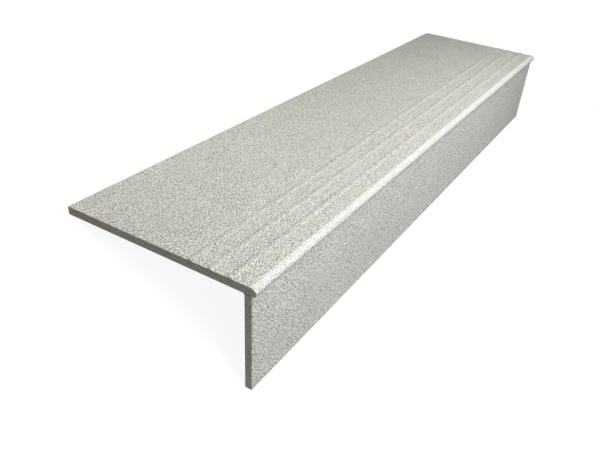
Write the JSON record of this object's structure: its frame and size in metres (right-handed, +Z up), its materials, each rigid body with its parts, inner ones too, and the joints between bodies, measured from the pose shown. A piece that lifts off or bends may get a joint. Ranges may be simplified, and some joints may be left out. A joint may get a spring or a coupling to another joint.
{
  "type": "stair tread tile",
  "caption": "Porcelain stair step: a long tread tile with a rounded nose and raised anti-slip ribs, and a riser tile bonded under it behind the nose.",
  "frame": {"origin": "on the floor, under the middle of the step's bounding box, as the step rests unheld on the riser's foot and the tread's back edge", "axes": "+X along the step, +Y towards the tread's back edge, +Z up; the walking face leans back by 28.04 degrees about X"},
  "size_m": [1.2, 0.3356, 0.1487],
  "materials": {
    "porcelain": "matte",
    "adhesive": "matte"
  },
  "bodies": {
    "root": {"tread_tile": "porcelain", "riser_tile": "porcelain", "adhesive_joint": "adhesive"}
  },
  "joints": []
}
